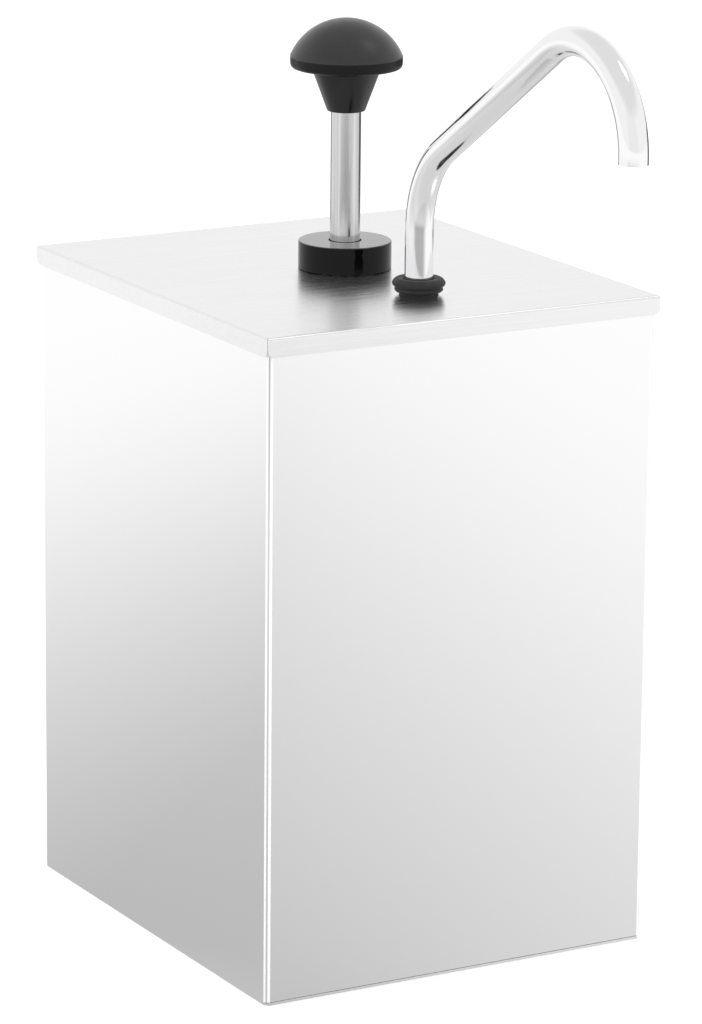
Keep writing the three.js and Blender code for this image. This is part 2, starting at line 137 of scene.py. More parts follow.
def even_normals(obj):
    """Big flat faces stay flat where they meet small fillets."""
    weighted = obj.modifiers.new("even", "WEIGHTED_NORMAL")
    weighted.weight = 100
    weighted.keep_sharp = True
    return obj


def baked(obj):
    """The object's mesh with its modifiers applied."""
    bpy.context.view_layer.update()
    return bpy.data.meshes.new_from_object(obj.evaluated_get(bpy.context.evaluated_depsgraph_get()))


def fillet(corners):
    """Closed outline of (a, b) or (a, b, radius) corners, with each radius drawn as an arc."""
    points = []
    count, steps = len(corners), 5
    for i, corner in enumerate(corners):
        here = Vector(corner[:2])
        radius = corner[2] if len(corner) > 2 else 0
        before = Vector(corners[i - 1][:2]) - here
        after = Vector(corners[(i + 1) % count][:2]) - here
        if not radius or before.length < 1e-6 or after.length < 1e-6:
            points.append(here)
            continue
        u, v = before.normalized(), after.normalized()
        half = u.angle(v) / 2
        reach = min(radius / math.tan(half), before.length * 0.49, after.length * 0.49)
        radius = reach * math.tan(half)
        centre = here + (u + v).normalized() * (radius / math.sin(half))
        start, end = here + u * reach - centre, here + v * reach - centre
        bend = start.angle_signed(end)
        for k in range(steps + 1):
            points.append(centre + Matrix.Rotation(-bend * k / steps, 2) @ start)
    return points


def bridge(bm, low, high):
    """Joins two rings of vertices by quads, or by triangles where one ring is a single point."""
    count = max(len(low), len(high))
    for k in range(count):
        n = (k + 1) % count
        quad = (low[k % len(low)], low[n % len(low)], high[n % len(high)], high[k % len(high)])
        corners = list(dict.fromkeys(quad))
        if len(corners) > 2:
            bm.faces.new(corners)


def lathe(profile, sides=96, closed=True):
    """Revolves (radius, z) points about Z. A closed profile is a ring; an open one runs from axis to axis."""
    bm = bmesh.new()
    angles = [2 * math.pi * k / sides for k in range(sides)]
    rings = []
    for radius, z in profile:
        around = angles if radius > 1e-6 else angles[:1]
        rings.append([bm.verts.new((radius * math.cos(a), radius * math.sin(a), z)) for a in around])
    for low, high in zip(rings, rings[1:]):
        bridge(bm, low, high)
    if closed:
        bridge(bm, rings[-1], rings[0])
    return bm


def rounded_outline(width, depth, radius, steps):
    """Corner-rounded rectangle, anticlockwise, with the same number of points whatever its size."""
    radius = max(radius, 0.05)
    points = []
    for quarter, (sx, sy) in enumerate(((1, 1), (-1, 1), (-1, -1), (1, -1))):
        centre = Vector((sx * (width / 2 - radius), sy * (depth / 2 - radius)))
        for k in range(steps + 1):
            angle = (quarter + k / steps) * math.pi / 2
            points.append(centre + Vector((math.cos(angle), math.sin(angle))) * radius)
    return points


def loft(sections, closed, steps=6):
    """Skins rounded rectangles given as (width, depth, radius, z); an open loft is closed by flat ends."""
    bm = bmesh.new()
    rings = []
    for width, depth, radius, z in sections:
        outline = rounded_outline(width, depth, radius, steps)
        rings.append([bm.verts.new((*point, z)) for point in outline])
    for low, high in zip(rings, rings[1:]):
        bridge(bm, low, high)
    if closed:
        bridge(bm, rings[-1], rings[0])
    else:
        bm.faces.new(rings[0])
        bm.faces.new(rings[-1])
    return bm


def section(width, depth, radius, profile):
    """Loft sections of a sheet whose profile gives (inset, z) from the outer faces."""
    return [(width - 2 * inset, depth - 2 * inset, radius - inset, z) for inset, z in profile]


def sideways(point):
    """The direction across any path that lies in a plane with normal X."""
    return Vector((1, 0, 0))


def outward(point):
    """The direction across a path round the Z axis."""
    return Vector((point.x, point.y, 0)).normalized()


def sweep(points, radius, bore=0.0, sides=48, across=sideways):
    """Round bar or tube along a path; across(point) is a direction square to the path there."""
    bm = bmesh.new()
    angles = [2 * math.pi * k / sides for k in range(sides)]
    walls = []
    for r in ([radius, bore] if bore else [radius]):
        rings = []
        for i, point in enumerate(points):
            ahead = (points[min(i + 1, len(points) - 1)] - points[max(i - 1, 0)]).normalized()
            side = across(point)
            up = ahead.cross(side)
            rings.append([bm.verts.new(point + (side * math.cos(a) + up * math.sin(a)) * r) for a in angles])
        for low, high in zip(rings, rings[1:]):
            bridge(bm, low, high)
        walls.append(rings)
    for end in (0, -1):
        if bore:
            bridge(bm, walls[0][end], walls[1][end])
        else:
            bm.faces.new(walls[0][end])
    return bm


def joined(*parts):
    """Several millimetre meshes as one."""
    whole = bmesh.new()
    for bm in parts:
        mesh = bpy.data.meshes.new("part")
        bm.to_mesh(mesh)
        bm.free()
        whole.from_mesh(mesh)
        bpy.data.meshes.remove(mesh)
    return whole


def solidify(bm, thickness):
    """Gives a one-sided sheet its thickness, on the inner side."""
    bmesh.ops.recalc_face_normals(bm, faces=bm.faces)
    obj = mesh_object("sheet", bm)
    modifier = obj.modifiers.new("thick", "SOLIDIFY")
    modifier.thickness, modifier.offset, modifier.use_even_offset = thickness, -1, True
    solid = bmesh.new()
    solid.from_mesh(baked(obj))
    bpy.data.objects.remove(obj)
    return solid


def cut(obj, *cutters):
    """Bores round holes given as (radius, start, end, segments), with start and end points in millimetres."""
    for radius, start, end, segments in cutters:
        bm = bmesh.new()
        axis = (Vector(end) - Vector(start)) * MM
        spin = Vector((0, 0, 1)).rotation_difference(axis.normalized()).to_matrix().to_4x4()
        middle = (Vector(start) + Vector(end)) / 2 * MM
        bmesh.ops.create_cone(bm, cap_ends=True, segments=segments, radius1=radius * MM, radius2=radius * MM,
                              depth=axis.length, matrix=Matrix.Translation(middle) @ spin)
        tool = mesh_object("cutter", bm)
        modifier = obj.modifiers.new("cut", "BOOLEAN")
        modifier.operation, modifier.solver, modifier.object = "DIFFERENCE", "EXACT", tool
        mesh = baked(obj)
        obj.modifiers.remove(modifier)
        obj.data = mesh
        bpy.data.objects.remove(tool)
    return obj


def hole_along_z(at, radius, low, high, segments):
    """A cutter along Z."""
    return radius, (*at, low), (*at, high), segments


def hole_along_y(at, radius, start, end):
    """A cutter along Y at the port's height, from start to end, both measured from the part's own axis."""
    return radius, (at[0], at[1] + start, PORT_Z), (at[0], at[1] + end, PORT_Z), 48


# ---------- material helpers ----------
class Looks:
    """A Principled material, with helpers to wire small procedural patterns in object coordinates."""

    def __init__(self, name, color, metallic, roughness, **sockets):
        self.material = bpy.data.materials.new(name)
        self.material.use_nodes = True
        self.nodes = self.material.node_tree.nodes
        self.links = self.material.node_tree.links
        self.shader = self.nodes["Principled BSDF"]
        self.color, self.rough = color, roughness
        self.shader.inputs["Base Color"].default_value = (*color, 1)
        self.shader.inputs["Metallic"].default_value = metallic
        self.shader.inputs["Roughness"].default_value = roughness
        for key, value in sockets.items():
            self.shader.inputs[key.replace("_", " ")].default_value = value
        self.bump = None

    def noise(self, scale, detail=3, stretch=(1, 1, 1), distortion=0.0):
        coords = self.nodes.new("ShaderNodeTexCoord")
        mapping = self.nodes.new("ShaderNodeMapping")
        mapping.inputs["Scale"].default_value = stretch
        self.links.new(coords.outputs["Object"], mapping.inputs["Vector"])
        texture = self.nodes.new("ShaderNodeTexNoise")
        texture.inputs["Scale"].default_value = scale
        texture.inputs["Detail"].default_value = detail
        texture.inputs["Distortion"].default_value = distortion
        self.links.new(mapping.outputs["Vector"], texture.inputs["Vector"])
        return texture.outputs["Fac"]

    def spread(self, factor, low, high):
        """Maps the middle of a 0-1 pattern onto low..high."""
        node = self.nodes.new("ShaderNodeMapRange")
        node.inputs["From Min"].default_value = 0.3
        node.inputs["From Max"].default_value = 0.7
        node.inputs["To Min"].default_value = low
        node.inputs["To Max"].default_value = high
        self.links.new(factor, node.inputs["Value"])
        return node.outputs["Result"]

    def roughen(self, factor, amount):
        """Roughness varies by the amount either way."""
        varied = self.spread(factor, self.rough - amount, self.rough + amount)
        self.links.new(varied, self.shader.inputs["Roughness"])

    def tint(self, factor, dark, light):
        """Colour varies between two multiples of the base colour."""
        mix = self.nodes.new("ShaderNodeMix")
        mix.data_type = "RGBA"
        mix.inputs["A"].default_value = (*(c * dark for c in self.color), 1)
        mix.inputs["B"].default_value = (*(c * light for c in self.color), 1)
        self.links.new(self.spread(factor, 0, 1), mix.inputs["Factor"])
        self.links.new(mix.outputs["Result"], self.shader.inputs["Base Color"])

    def relief(self, factor, distance):
        """Adds a bump pattern; distance is its height in metres."""
        node = self.nodes.new("ShaderNodeBump")
        node.inputs["Strength"].default_value = 1
        node.inputs["Distance"].default_value = distance
        self.links.new(factor, node.inputs["Height"])
        if self.bump:
            self.links.new(self.bump.outputs["Normal"], node.inputs["Normal"])
        self.bump = node
        self.links.new(node.outputs["Normal"], self.shader.inputs["Normal"])


# Bright sheet of the case: nearly a mirror, with slight waves and very faint polishing lines.
polished = Looks("polished_sheet", (0.93, 0.93, 0.935), 1, 0.05)
polished.relief(polished.noise(9, 1), 0.00004)
polished.roughen(polished.noise(30, 4, (1, 1, 0.15)), 0.015)

# Painted highlight: a pale, rough, partly diffuse finish on the corner flanks, so each corner shows a bright
# line.
edge_highlight = Looks("painted_highlight_edge", (0.97, 0.97, 0.97), 0.2, 0.5)
edge_highlight.roughen(edge_highlight.noise(400, 3, (1, 1, 0.05)), 0.08)

# Satin brushed sheet of the lid and the container: short fine lines along X.
satin = Looks("satin_sheet", (0.88, 0.88, 0.883), 1, 0.25)
grain = satin.noise(900, 4, (0.03, 1, 1), 0.3)
satin.roughen(grain, 0.03)
satin.tint(satin.noise(700, 3, (0.02, 1, 1)), 0.985, 1.015)
satin.relief(grain, 0.0000025)

# Sheet as it left the mill, on the hidden inner faces.
mill = Looks("mill_sheet", (0.8, 0.8, 0.805), 0.25, 0.36)
mill.roughen(mill.noise(500, 3, (1, 1, 0.04)), 0.05)
mill.tint(mill.noise(40, 3), 0.96, 1.04)
mill.relief(mill.noise(700, 2, (1, 1, 0.04)), 0.000003)

drawn = Looks("drawn_steel", (0.72, 0.72, 0.725), 1, 0.16)
drawn.roughen(drawn.noise(1200, 2, (1, 1, 0.01)), 0.04)
drawn.relief(drawn.noise(1500, 2, (1, 1, 0.01)), 0.000004)

rod_steel = Looks("rod_steel", (0.71, 0.71, 0.715), 1, 0.15)
rod_steel.roughen(rod_steel.noise(900, 3, (1, 1, 0.02)), 0.04)
rod_steel.tint(rod_steel.noise(420, 3, (1, 1, 0.015)), 0.72, 1.08)
rod_steel.relief(rod_steel.noise(700, 2, (1, 1, 0.01)), 0.00002)

chrome = Looks("mirror_tube", (0.91, 0.91, 0.92), 1, 0.09)
chrome.relief(chrome.noise(60, 2), 0.00006)
chrome.roughen(chrome.noise(80, 3), 0.02)

gloss_black = Looks("gloss_black", (0.0025, 0.0025, 0.0027), 0, 0.06, Specular_IOR_Level=0.2)
gloss_black.relief(gloss_black.noise(120, 2), 0.00001)
gloss_black.roughen(gloss_black.noise(300, 4), 0.02)

# The collar's end face gets a lit copy of the gloss black, with a lighter base and a much stronger reflection
# and coat than its side: a painted highlight.
lit_end_face = Looks("lit_end_face", (0.004, 0.004, 0.0042), 0, 0.04, Specular_IOR_Level=1.0,
                   Coat_Weight=0.5, Coat_Roughness=0.03)
lit_end_face.relief(lit_end_face.noise(90, 2), 0.00001)
lit_end_face.roughen(lit_end_face.noise(300, 4), 0.015)

knob_plastic = Looks("knob_plastic", (0.01, 0.01, 0.0105), 0, 0.36, Specular_IOR_Level=0.58,
                     Sheen_Weight=0.2, Sheen_Roughness=0.3)
knob_plastic.relief(knob_plastic.noise(2500, 3), 0.000012)
knob_plastic.roughen(knob_plastic.noise(160, 4), 0.05)
knob_plastic.tint(knob_plastic.noise(90, 3), 0.9, 1.1)

# The knob's rim gets a shaded copy of the dome's black: smoother, but with a much weaker reflection and no
# sheen, so it reads darker. This is painted shade.
shaded_rim_plastic = Looks("shaded_rim_plastic", (0.01, 0.01, 0.0105), 0, 0.3, Specular_IOR_Level=0.14)
shaded_rim_plastic.relief(shaded_rim_plastic.noise(1800, 2), 0.000006)
shaded_rim_plastic.roughen(shaded_rim_plastic.noise(200, 3), 0.04)

hub_plastic = Looks("hub_plastic", (0.006, 0.006, 0.0065), 0, 0.22, Specular_IOR_Level=0.4)
hub_plastic.relief(hub_plastic.noise(1500, 2), 0.000006)
hub_plastic.roughen(hub_plastic.noise(200, 3), 0.04)

rubber = Looks("grommet_rubber", (0.012, 0.012, 0.0125), 0, 0.6)
rubber.relief(rubber.noise(1400, 4), 0.00003)
rubber.roughen(rubber.noise(500, 3), 0.08)
rubber.tint(rubber.noise(350, 4), 0.8, 1.5)

white_plastic = Looks("white_plastic", (0.80, 0.79, 0.75), 0, 0.38)
white_plastic.relief(white_plastic.noise(900, 3), 0.00001)
white_plastic.roughen(white_plastic.noise(200, 3), 0.05)


# ---------- case ----------
def inward(face, least):
    """True where a face looks towards the Z axis, by more than the given number of metres."""
    return face.center.x * face.normal.x + face.center.y * face.normal.y < -least


def corner_flank(face):
    """Both flanks of each rounded corner, which carry a painted highlight: a pale, rough, partly diffuse
    finish.
    """
    lean = math.degrees(math.atan2(abs(face.normal.y), abs(face.normal.x)))
    return abs(face.normal.z) < 0.1 and face.area < 0.002 and (2 < lean < 33 or 57 < lean < 88)


def case_mesh():
    """Four walls in one sheet, turned in at the top and at the foot."""
    profile = fillet([
        (0, CASE_LOW), (0, CASE_HIGH, 1.0), (LEDGE, CASE_HIGH, 0.25), (LEDGE, CASE_HIGH - SHEET, 0.25),
        (SHEET, CASE_HIGH - SHEET, 0.4), (SHEET, CASE_LOW + SHEET, 0.4), (LIP, CASE_LOW + SHEET, 0.25),
        (LIP, CASE_LOW, 0.25)])
    bm = loft(section(CASE_W, CASE_D, CASE_R, profile), closed=True, steps=8)
    for side in (-1, 1):  # each side wall runs down past the edge of the base plate
        strip = bmesh.ops.create_cube(bm, size=1)["verts"]
        bmesh.ops.scale(bm, vec=(SHEET, CASE_D - 2 * CASE_R, CASE_LOW), verts=strip)
        bmesh.ops.translate(bm, vec=(side * (CASE_W - SHEET) / 2, 0, CASE_LOW / 2), verts=strip)
    return bm


case = finish_mesh("case_shell", case_mesh(), "case", polished, sharp=50)
second_look(case, edge_highlight, corner_flank)
second_look(case, mill, lambda face: inward(face, 0.01))
even_normals(case)

PLATE_W, PLATE_CORNER, PLATE_EDGE = CASE_W - 2.6, 0.2, 0.08
plate_profile = [(PLATE_EDGE, 0), (0, PLATE_EDGE), (0, SHEET - PLATE_EDGE), (PLATE_EDGE, SHEET)]
plate_mesh = loft(section(PLATE_W, CASE_D, PLATE_CORNER, plate_profile), closed=False)
plate = finish_mesh("base_plate", plate_mesh, "case", polished)
second_look(even_normals(plate), mill, lambda face: face.normal.z > 0.9)


# ---------- container ----------
def container_mesh():
    """Deep tub with a rounded foot and a flat rim turned out over the case's ledge."""
    width, depth, corner, bottom, foot = 157, 182, 16, 21, 12
    rim, rim_corner, rim_edge = 7.5, 8, 0.3
    rim_low, rim_high = CASE_HIGH + 0.3, CASE_HIGH + 0.3 + SHEET
    outside = [(width + 2 * (rim - inset), depth + 2 * (rim - inset), rim_corner, z) for inset, z in (
        (rim_edge, rim_high), (0, rim_high - 0.4), (0, rim_low + 0.2), (rim_edge, rim_low))]
    outside += section(width, depth, corner, [(-0.8, rim_low), (0, rim_low - 1)])
    inside = section(width, depth, corner, [(-0.2, rim_high), (0.7, rim_high - 0.6), (SHEET, rim_high - 2)])
    steps = 8
    for k in range(steps + 1):
        angle = k / steps * math.pi / 2
        for wall, inset in ((outside, 0), (inside, SHEET)):
            radius = foot - inset
            shrink = 2 * (inset + radius * (1 - math.cos(angle)))
            z = bottom + inset + radius * (1 - math.sin(angle))
            wall.append((width - shrink, depth - shrink, corner - inset, z))
    return loft(outside[::-1] + inside, closed=False, steps=10)


def container_inside(face):
    """The walls' inner faces and the floor, but not the top of the rim."""
    return inward(face, 0.005) or (face.normal.z > 0.3 and face.center.z < 0.2)


container = even_normals(finish_mesh("inner_container", container_mesh(), "container", satin))
second_look(container, mill, container_inside)


# ---------- lid ----------
def skirt_rows():
    """How a skirt goes on from the top: (distance out, z, how far it runs past the top's own edge)."""
    slit, corner, steps = 0.3, 3.0, 8
    rows = []
    for k in range(1, steps + 1):
        angle = k / steps * math.pi / 2
        out = FOLD * math.sin(angle)
        rows.append((out, TOP - FOLD * (1 - math.cos(angle)), out - slit))
    for t in (0.35, 0.7, 0.78, 0.86, 0.93, 1.0):
        z = TOP - FOLD - (SKIRT - FOLD) * t
        rise = min(z - (TOP - SKIRT), corner)
        trim = corner - math.sqrt(max(corner**2 - (corner - rise) ** 2, 0))
        rows.append((FOLD, z, FOLD - slit - trim))
    return rows


def lid_mesh():
    """One sheet: a flat top and four skirts folded down over a small radius, with a slit at each corner."""
    bm = bmesh.new()
    x, y = LID_W / 2 - FOLD, LID_D / 2 - FOLD
    corners = [bm.verts.new((sx * x, sy * y, TOP)) for sx, sy in ((-1, -1), (1, -1), (1, 1), (-1, 1))]
    bm.faces.new(corners)
    for a, b in zip(corners, corners[1:] + corners[:1]):
        along = (b.co - a.co).normalized()
        out = Vector((along.y, -along.x, 0))
        previous = (a, b)
        for offset, z, extend in skirt_rows():
            start = a.co + out * offset - along * extend
            end = b.co + out * offset + along * extend
            start.z = end.z = z
            current = (bm.verts.new(start), bm.verts.new(end))
            bm.faces.new((previous[0], current[0], current[1], previous[1]))
            previous = current
    return bm


lid = finish_mesh("lid_cover", solidify(lid_mesh(), SHEET * 0.95), "lid", satin, sharp=40)
cut(lid, hole_along_z(PUMP, PUMP_HOLE, TOP - 8, TOP + 7, 64),
    hole_along_z(RISER, RISER_HOLE, TOP - 8, TOP + 7, 48))
even_normals(lid)


# ---------- turned parts ----------
def turn(piece, body, corners, looks, at, sides=96, sharp=38):
    """A ring whose cross-section is given by corners, some of them rounded."""
    return finish_mesh(piece, lathe(fillet(corners), sides), body, looks, at, sharp)


def turn_solid(piece, body, points, looks, at, sides=96, sharp=38):
    """A solid whose outline runs from axis to axis."""
    return finish_mesh(piece, lathe(points, sides, closed=False), body, looks, at, sharp)


def ring(outer, inner, low, high, edge=0.2):
    return [(outer, low, edge), (outer, high, edge), (inner, high, edge), (inner, low, edge)]


def o_ring(piece, body, major, minor, z, at):
    points = []
    for k in range(20):
        angle = 2 * math.pi * k / 20
        points.append((major + minor * math.cos(angle), z + minor * math.sin(angle)))
    finish_mesh(piece, lathe(points, 72), body, rubber, at)


def ball(piece, body, radius, z, at):
    points = [(0, z - radius)]
    for k in range(1, 32):
        angle = (k / 32 - 0.5) * math.pi
        points.append((radius * math.cos(angle), z + radius * math.sin(angle)))
    turn_solid(piece, body, points + [(0, z + radius)], chrome, at, 64)


def cage(piece, radius, low, high, count, pitch, hole, at):
    """White disc with a circle of holes."""
    edge = 0.2
    profile = [(0, low), (radius - edge, low), (radius, low + edge), (radius, high - edge),
               (radius - edge, high), (0, high)]
    plate = turn_solid(piece, "lid", profile, white_plastic, at, 72)
    for k in range(count):
        angle = 2 * math.pi * k / count
        middle = (at[0] + pitch * math.cos(angle), at[1] + pitch * math.sin(angle))
        cut(plate, hole_along_z(middle, hole, low - 1, high + 1, 24))


def side_arm(radius, start, end):
    """Round boss along Y at the port's height, from start to end, both measured from the part's own axis."""
    edge = 0.6
    neck = end - math.copysign(edge, end - start)
    profile = [(0, start), (radius, start), (radius, neck), (radius - edge, end), (0, end)]
    bm = lathe(profile, 64, closed=False)
    bmesh.ops.rotate(bm, matrix=Matrix.Rotation(-math.pi / 2, 3, "X"), verts=bm.verts)
    bmesh.ops.translate(bm, vec=(0, 0, PORT_Z), verts=bm.verts)
    return bm


# ---------- pump ----------
collar = even_normals(turn("pump_collar", "lid", [
    (19.6, TOP + 0.3, 0.3), (19.6, TOP + 11.8, 0.6), (6.9, TOP + 11.8, 0.35), (6.75, TOP + 8.6),
    (15.3, TOP + 8.6), (15.3, TOP + 0.3)], gloss_black, PUMP, 128))
second_look(collar, lit_end_face, lambda face: face.normal.z > 0.6)
turn("cylinder_gasket", "lid", ring(CYL_FLANGE, CYL_BORE, CYL_SHOULDER + 0.3, TOP - 1.3), rubber,
     PUMP)
cylinder = even_normals(turn("pump_cylinder", "lid", [
    (CYL_WALL, CYL_FOOT, 0.4), (CYL_WALL, 269.4, 2), (CYL_FLANGE, 271.9, 0.6),
    (CYL_FLANGE, CYL_SHOULDER, 0.4), (NECK_WALL, CYL_SHOULDER), (NECK_WALL, NECK_TOP, 0.4),
    (NECK_BORE, NECK_TOP, 0.3), (NECK_BORE, NECK_LOW, 1), (CYL_BORE, 267.4, 1), (CYL_BORE, CYL_FOOT, 0.3)],
    drawn, PUMP))
BUSH_WALL, BUSH_BORE, BUSH_LOW, BUSH_TOP = NECK_BORE - 0.3, 6.7, NECK_LOW + 0.5, NECK_TOP + 1.8
turn("rod_bush", "lid", [
    (BUSH_WALL, BUSH_LOW), (BUSH_WALL, NECK_TOP + 0.3), (14.5, NECK_TOP + 0.3, 0.2), (14.5, BUSH_TOP, 0.4),
    (9.2, BUSH_TOP, 0.2), (9.2, 283.7), (BUSH_BORE, 283.7, 0.2), (BUSH_BORE, BUSH_LOW, 0.3)],
    white_plastic, PUMP)
o_ring("rod_wiper", "lid", 7.85, 1.05, 285, PUMP)


def spring_line():
    """The spring's helix, as points on the middle of its wire."""
    per_turn, end = 32, 1
    count = SPRING_TURNS * per_turn
    points = []
    for k in range(count + 1):
        angle = 2 * math.pi * k / per_turn
        z = SPRING_LOW + end + (SPRING_HIGH - SPRING_LOW - 2 * end) * k / count
        points.append(Vector((SPRING_RADIUS * math.cos(angle), SPRING_RADIUS * math.sin(angle), z)))
    return points


coil = sweep(spring_line(), SPRING_WIRE, sides=12, across=outward)
spring = finish_mesh("return_spring", coil, "lid", chrome, PUMP)
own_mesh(spring)

housing_foot = lathe(fillet([
    (14.5, 32, 1), (20.5, 37, 1), (20.5, 76, 0.6), (18.3, 76, 0.3), (18.3, 51.7), (9, 51.7, 0.4), (9, 41.5),
    (5.5, 38), (5.5, 32, 0.5)]))
housing = finish_mesh("valve_housing", joined(housing_foot, side_arm(9, -19.3, -27.3)), "lid", knob_plastic,
                      PUMP)
cut(housing, hole_along_y(PUMP, PIPE_SOCKET, -30, -22.4), hole_along_y(PUMP, PORT_BORE, -24, -10))
cut(cylinder, hole_along_y(PUMP, PORT_BORE, -24, -10))

ball("inlet_ball", "inlet_valve", 6.5, 42, PUMP)
cage("inlet_cage", 17.8, 52, 54, 6, 7, 2, PUMP)


# ---------- plunger ----------
def knob_points():
    """Spherical cap that rolls over into a short rim, with a recess below."""
    rim, rise, steps = KNOB_RIM, KNOB_APEX - KNOB_BAND, 28
    sphere = (KNOB_RADIUS**2 + rise**2) / (2 * rise)
    edge = math.asin(KNOB_RADIUS / sphere)
    under = [(0, rim + 11), (4.3, rim + 11), (4.3, rim + 0.3), (4.6, rim), (HUB_WIDE, rim), (16.3, rim + 2.5),
             (18.5, rim + 2.5)]
    lip = [(19.6, rim + 0.7), (20.3, rim + 0.15), (21.6, rim), (22.5, rim + 0.3), (23.1, rim + 0.95),
           (23.4, rim + 1.8), (KNOB_RADIUS, rim + 2.8), (KNOB_RADIUS, KNOB_BAND - 0.4)]
    cap = []
    for k in range(steps):
        angle = edge * (1 - k / steps)
        cap.append((sphere * math.sin(angle), KNOB_APEX - sphere * (1 - math.cos(angle))))
    return under + lip + cap + [(0, KNOB_APEX)]


dome = turn_solid("knob_dome", "plunger", knob_points(), knob_plastic, PUMP, 160,
                  sharp=50)
second_look(dome, shaded_rim_plastic, lambda face: face.center.z < (KNOB_BAND - 0.5) * MM)
turn("knob_hub", "plunger", [
    (HUB_NARROW, HUB_LOW, 0.7), (HUB_WIDE, HUB_HIGH, 1.1), (4.3, HUB_HIGH, 0.2), (4.3, ROD_HIGH + 0.3),
    (ROD_SOCKET, ROD_HIGH + 0.3), (ROD_SOCKET, HUB_LOW, 0.2)], hub_plastic, PUMP, 128)
turn_solid("knob_stud", "plunger", [
    (0, 336), (3.6, 336), (4, 336.4), (4, 372.6), (3.6, 373), (0, 373)], drawn, PUMP)
rod = turn("plunger_rod", "plunger", ring(ROD_WALL, ROD_BORE, ROD_LOW, ROD_HIGH, 0.3), rod_steel,
           PUMP)
even_normals(rod)
turn("rod_plug", "plunger", ring(ROD_BORE - 0.3, SCREW_BORE, 157.1, 170.6), drawn, PUMP)


def piston_points():
    """Disc with a groove for each ring, a socket for the rod's foot and a bore for the screw."""
    low, high, socket = 143.3, 159.3, 156.3
    points = [(SCREW_BORE, low), (PISTON_WALL, low, 0.8)]
    for foot, top in GROOVES:
        points += [(PISTON_WALL, foot, 0.1), (PISTON_GROOVE, foot)]
        points += [(PISTON_GROOVE, top), (PISTON_WALL, top, 0.1)]
    return points + [(PISTON_WALL, high, 0.8), (ROD_SOCKET, high), (ROD_SOCKET, socket), (SCREW_BORE, socket)]


turn("piston_head", "plunger", piston_points(), white_plastic, PUMP)
for ring_name, (foot, top) in zip(("piston_ring_lower", "piston_ring_upper"), GROOVES):
    o_ring(ring_name, "plunger", 14.35, 1.3, (foot + top) / 2, PUMP)
turn("piston_washer", "plunger", ring(9.5, SCREW_BORE, 141.8, 143), drawn, PUMP)
screw_head = [(0, 137.6), (5.1, 137.6), (5.7, 138.1), (5.7, 141.2), (5.1, 141.5), (0, 141.5)]
screw_shank = [(0, 141.4), (2.5, 141.4), (2.5, 168.1), (2, 168.6), (0, 168.6)]
screw = joined(lathe(screw_head, 6, closed=False), lathe(screw_shank, 32, closed=False))
finish_mesh("piston_screw", screw, "plunger", drawn, PUMP)

# ---------- discharge line ----------
turn("spout_grommet", "lid", [
    (6.2, TOP + 7.0, 0.4), (9.6, TOP + 7.3, 2.2), (11.4, TOP + 4.9, 1.8), (9.7, TOP + 3.3, 0.5),
    (10.1, TOP + 2.3, 0.5), (9.3, TOP + 1.5, 0.4), (7.8, TOP + 1.2, 0.3), (7.8, TOP - 1.3, 0.2),
    (9.6, TOP - 1.3, 0.4), (9.2, TOP - 3.6, 0.4), (6.3, TOP - 3.6, 0.3)], rubber, RISER, sharp=60)
pipe_line = [Vector((PUMP[0], RISER[1] + 10, PORT_Z)), Vector((PUMP[0], PUMP[1] - 22, PORT_Z))]
finish_mesh("outlet_pipe", sweep(pipe_line, PIPE, PORT_BORE), "lid", drawn)
elbow_post = lathe(fillet([
    (0.001, 57), (10, 57, 2), (10, 100, 0.6), (RISER_SOCKET, 100, 0.2), (RISER_SOCKET, 91.7), (7, 91.7),
    (7, 77), (PORT_BORE, 74), (PORT_BORE, PORT_Z), (0.001, PORT_Z)]))
elbow = finish_mesh("outlet_elbow", joined(elbow_post, side_arm(8.5, 8.0, 13.8)), "lid", knob_plastic,
                    RISER)
cut(elbow, hole_along_y(RISER, PORT_BORE, 1, 12), hole_along_y(RISER, PIPE_SOCKET, 9.7, 16))
ball("outlet_ball", "outlet_valve", 6, 78.8, RISER)
cage("outlet_cage", 6.65, 88.5, 90, 4, 4, 1.6, RISER)
turn("riser_tube", "lid", ring(RISER_WALL, RISER_BORE, 92, 266, 0.3), drawn, RISER)
turn("riser_cap", "lid", [
    (11, 252, 0.5), (11, 268.6, 0.8), (6.4, 268.6, 0.3), (6.4, 266.3), (RISER_SOCKET, 266.3),
    (RISER_SOCKET, 252, 0.2)], knob_plastic, RISER)
for ring_name, middle in (("spout_seal_lower", 241), ("spout_seal_upper", 249)):
    turn(ring_name, "spout", ring(6.55, 6.15, middle - 1, middle + 1, 0.15), rubber, RISER)


def strap_mesh():
    """Flat strap round the cylinder and the riser, with straight tangents between."""
    wide, narrow, apart = 22.0, 11.9, PUMP[1] - RISER[1]
    lean = math.asin((wide - narrow) / apart)
    outline = []
    for radius, y, first, extent, steps in ((wide, 0, -lean, math.pi + 2 * lean, 48),
                                            (narrow, -apart, math.pi + lean, math.pi - 2 * lean, 32)):
        for k in range(steps + 1):
            angle = first + extent * k / steps
            outline.append((radius * math.cos(angle), radius * math.sin(angle) + y))
    bm = bmesh.new()
    low = [bm.verts.new((*point, STRAP_LOW)) for point in outline]
    high = [bm.verts.new((*point, STRAP_HIGH)) for point in outline]
    bridge(bm, low, high)
    bm.faces.new(low)
    bm.faces.new(high)
    return bm


strap = finish_mesh("riser_bracket", strap_mesh(), "lid", drawn, PUMP)
cut(strap, hole_along_z(PUMP, CYL_WALL + 0.3, STRAP_LOW - 2, STRAP_HIGH + 2, 96),
    hole_along_z(RISER, RISER_SOCKET, STRAP_LOW - 2, STRAP_HIGH + 2, 64))


